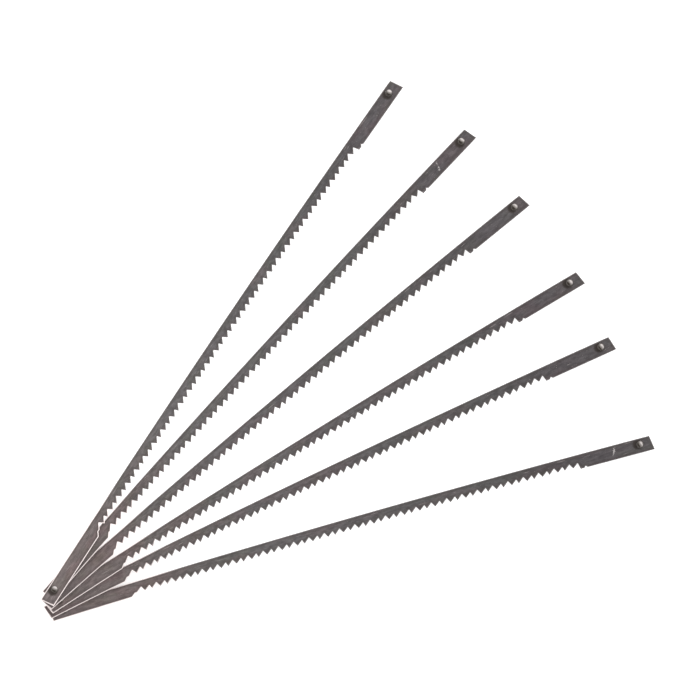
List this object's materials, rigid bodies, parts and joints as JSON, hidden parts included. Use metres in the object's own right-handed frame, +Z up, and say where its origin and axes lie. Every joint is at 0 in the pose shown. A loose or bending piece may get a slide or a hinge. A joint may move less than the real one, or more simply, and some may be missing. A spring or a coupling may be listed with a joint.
{
  "type": "coping saw blade set",
  "caption": "Fan of loose pin-end coping saw blades: slim toothed steel strips with a cross pin near each end, crossed at their handle ends.",
  "frame": {"origin": "on the surface that the blades lie on, under the middle of the fan", "axes": "+Z up from the surface; +X along the longer side of the fan's box, towards the toes; +Y along the shorter side. The blades point between +X and +Y, their backs to the +Y side"},
  "size_m": [0.1612, 0.1422, 0.0184],
  "materials": {
    "strip_steel": "dark blued carbon steel, rolled and ground lengthwise, bright on its worn edges",
    "pin_steel": "drawn steel wire, cut to length and pressed through the strip"
  },
  "bodies": {
    "blade_1": {"blade_1_strip": "strip_steel", "blade_1_handle_pin": "pin_steel", "blade_1_toe_pin": "pin_steel"},
    "blade_2": {"blade_2_strip": "strip_steel", "blade_2_handle_pin": "pin_steel", "blade_2_toe_pin": "pin_steel"},
    "blade_3": {"blade_3_strip": "strip_steel", "blade_3_handle_pin": "pin_steel", "blade_3_toe_pin": "pin_steel"},
    "blade_4": {"blade_4_strip": "strip_steel", "blade_4_handle_pin": "pin_steel", "blade_4_toe_pin": "pin_steel"},
    "blade_5": {"blade_5_strip": "strip_steel", "blade_5_handle_pin": "pin_steel", "blade_5_toe_pin": "pin_steel"},
    "blade_6": {"blade_6_strip": "strip_steel", "blade_6_handle_pin": "pin_steel", "blade_6_toe_pin": "pin_steel"}
  },
  "joints": [
    {"name": "blade_2_fan", "type": "hinge", "parent": "blade_1", "child": "blade_2", "pos_m": [-0.07556, -0.06658, 0.00505], "axis": [0, 0, 1], "range_deg": [-7, 12]},
    {"name": "blade_3_fan", "type": "hinge", "parent": "blade_2", "child": "blade_3", "pos_m": [-0.07544, -0.06487, 0.0078], "axis": [0, 0, 1], "range_deg": [-3.8, 12]},
    {"name": "blade_4_fan", "type": "hinge", "parent": "blade_3", "child": "blade_4", "pos_m": [-0.07635, -0.06351, 0.01055], "axis": [0, 0, 1], "range_deg": [-6, 12]},
    {"name": "blade_5_fan", "type": "hinge", "parent": "blade_4", "child": "blade_5", "pos_m": [-0.07615, -0.06072, 0.0133], "axis": [0, 0, 1], "range_deg": [-5, 12]},
    {"name": "blade_6_fan", "type": "hinge", "parent": "blade_5", "child": "blade_6", "pos_m": [-0.07679, -0.06223, 0.01605], "axis": [0, 0, 1], "range_deg": [-6, 12]}
  ]
}
